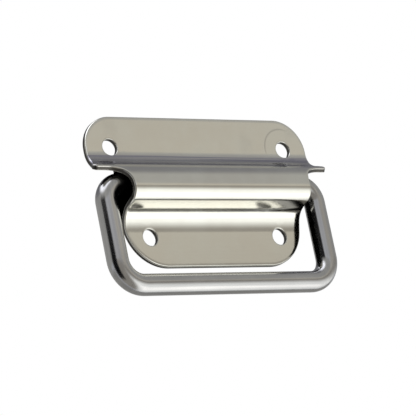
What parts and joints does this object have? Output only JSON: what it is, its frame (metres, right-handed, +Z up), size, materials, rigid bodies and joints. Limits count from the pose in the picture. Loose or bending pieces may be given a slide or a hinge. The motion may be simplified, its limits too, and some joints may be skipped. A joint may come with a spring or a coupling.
{
  "type": "chest handle",
  "caption": "Surface-mounted chest handle: a folded sheet plate with a barrel and stop ears holds a round-rod bail that swings out as a grip.",
  "frame": {"origin": "midway between the upper pair of screw holes, on the plate's back plane", "axes": "+X along the plate, towards the viewer's right; +Y into the surface the plate is screwed to; +Z up"},
  "size_m": [0.078, 0.0103, 0.052],
  "materials": {
    "plate_steel": "satin-polished stainless sheet",
    "rod_steel": "polished stainless rod"
  },
  "bodies": {
    "plate": {"back_plate": "plate_steel"},
    "bail": {"bail_handle": "rod_steel"}
  },
  "joints": [
    {"name": "bail_swing", "type": "hinge", "parent": "plate", "child": "bail", "pos_m": [0, -0.0032, -0.01127], "axis": [-1, 0, 0], "range_deg": [0, 80]}
  ]
}
